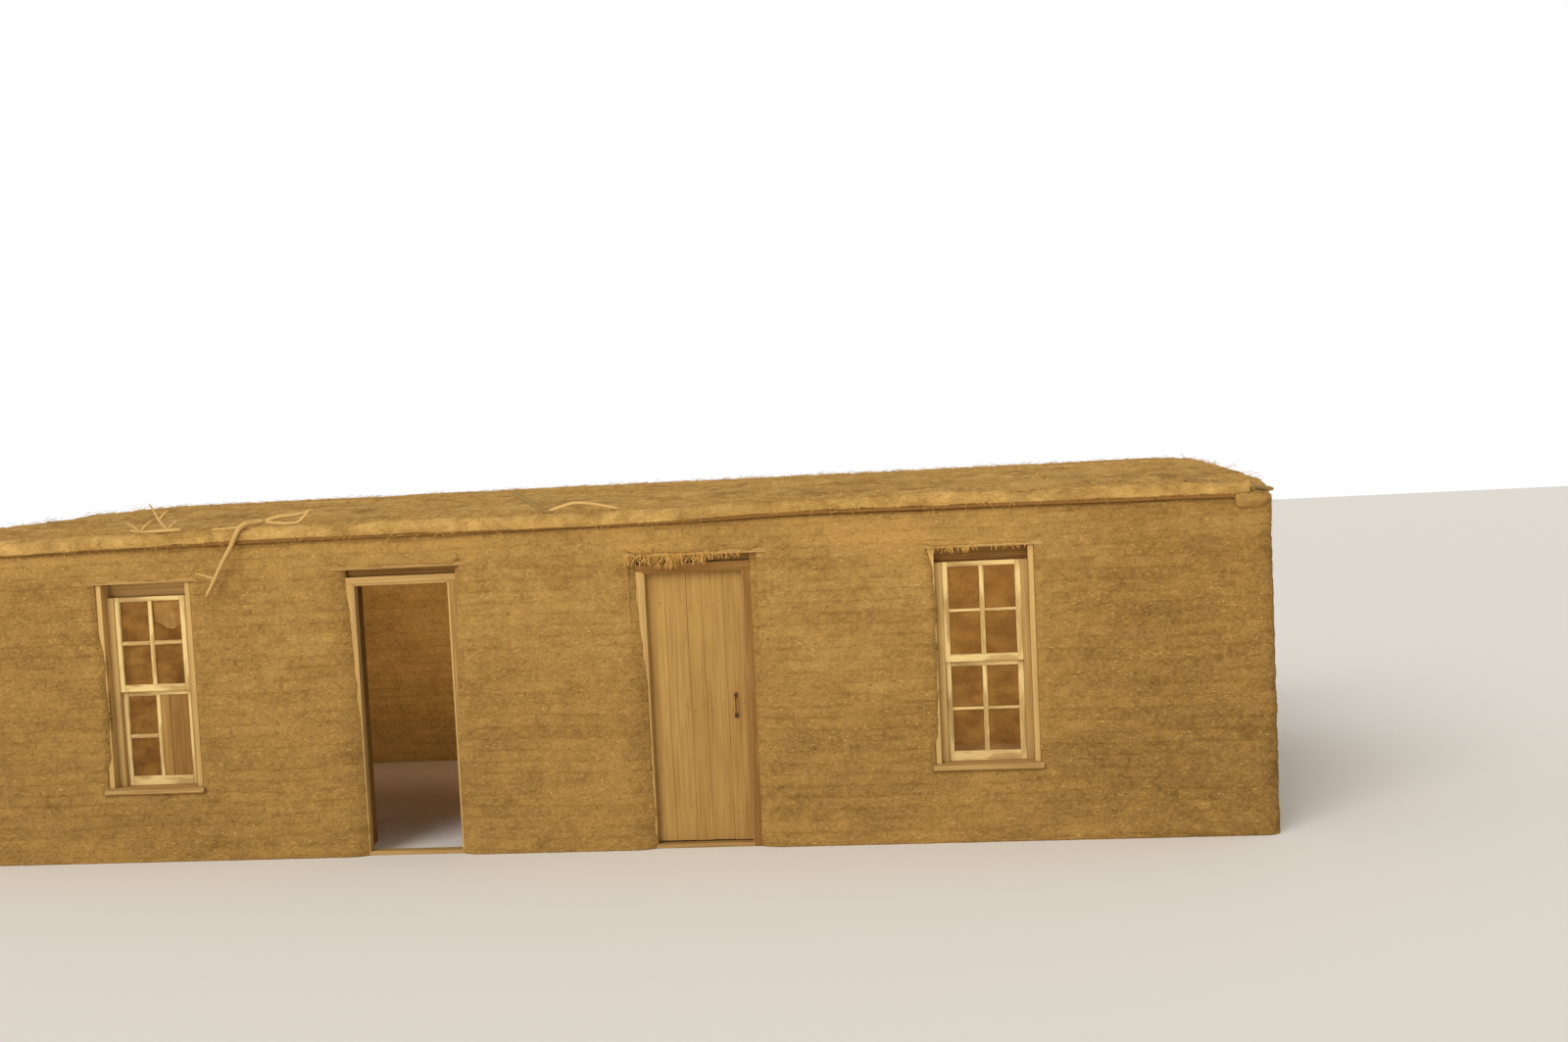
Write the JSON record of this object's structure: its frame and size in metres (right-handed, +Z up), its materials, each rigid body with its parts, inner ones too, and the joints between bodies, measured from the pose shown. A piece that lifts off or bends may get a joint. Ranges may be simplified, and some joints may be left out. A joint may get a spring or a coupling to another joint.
{
  "type": "turf house",
  "caption": "Long, low one-room house of stacked turf under a single-slope turf roof, with sash windows, an open doorway and a plank door that swings inwards.",
  "frame": {"origin": "middle of the house's footprint, on the ground", "axes": "+Z up, +Y from the front wall to the back wall, +X along the front to the right as seen from outside"},
  "size_m": [10.2345, 5.3844, 2.7593],
  "materials": {
    "turf_wall": "matte",
    "roof_turf": "matte",
    "weathered_plank": "matte",
    "log": "matte",
    "sash_wood": "matte",
    "door_plank": "matte",
    "window_glass": "gloss",
    "iron": "matte",
    "branch": "matte"
  },
  "bodies": {
    "house": {"front_wall_left": "turf_wall", "front_wall_over_doorway": "turf_wall", "front_wall_middle": "turf_wall", "front_wall_over_door": "turf_wall", "front_wall_right": "turf_wall", "left_end_wall": "turf_wall", "right_end_wall": "turf_wall", "back_wall": "turf_wall", "front_wall_plate": "weathered_plank", "back_wall_plate": "weathered_plank", "front_beam_filling": "turf_wall", "back_beam_filling": "turf_wall", "roof_rafters": "log", "roof_boards": "weathered_plank", "front_eave_plank_left": "weathered_plank", "front_eave_plank_right": "weathered_plank", "back_eave_plank": "weathered_plank", "front_eave_turf": "roof_turf", "roof_turf": "roof_turf", "corner_clod": "roof_turf", "window_lintel_left": "weathered_plank", "window_frame_left": "weathered_plank", "window_sill_left": "weathered_plank", "upper_sash_left": "sash_wood", "lower_sash_left": "sash_wood", "window_panes_left": "window_glass", "window_lintel_right": "weathered_plank", "window_frame_right": "weathered_plank", "window_sill_right": "weathered_plank", "upper_sash_right": "sash_wood", "lower_sash_right": "sash_wood", "window_panes_right": "window_glass", "doorway_lintel": "weathered_plank", "door_lintel": "weathered_plank", "doorway_frame": "weathered_plank", "door_frame": "weathered_plank", "door_pintles": "iron", "forked_branch": "branch", "antler_branch": "branch", "bent_stick": "branch", "corner_pole": "branch"},
    "door": {"door_leaf": "door_plank", "door_battens": "door_plank", "door_strap_hinges": "iron", "door_pull": "iron"}
  },
  "joints": [
    {"name": "door_hinge", "type": "hinge", "parent": "house", "child": "door", "pos_m": [0.672, -2.436, 1.01], "axis": [0, 0, 1], "range_deg": [0, 100]}
  ]
}
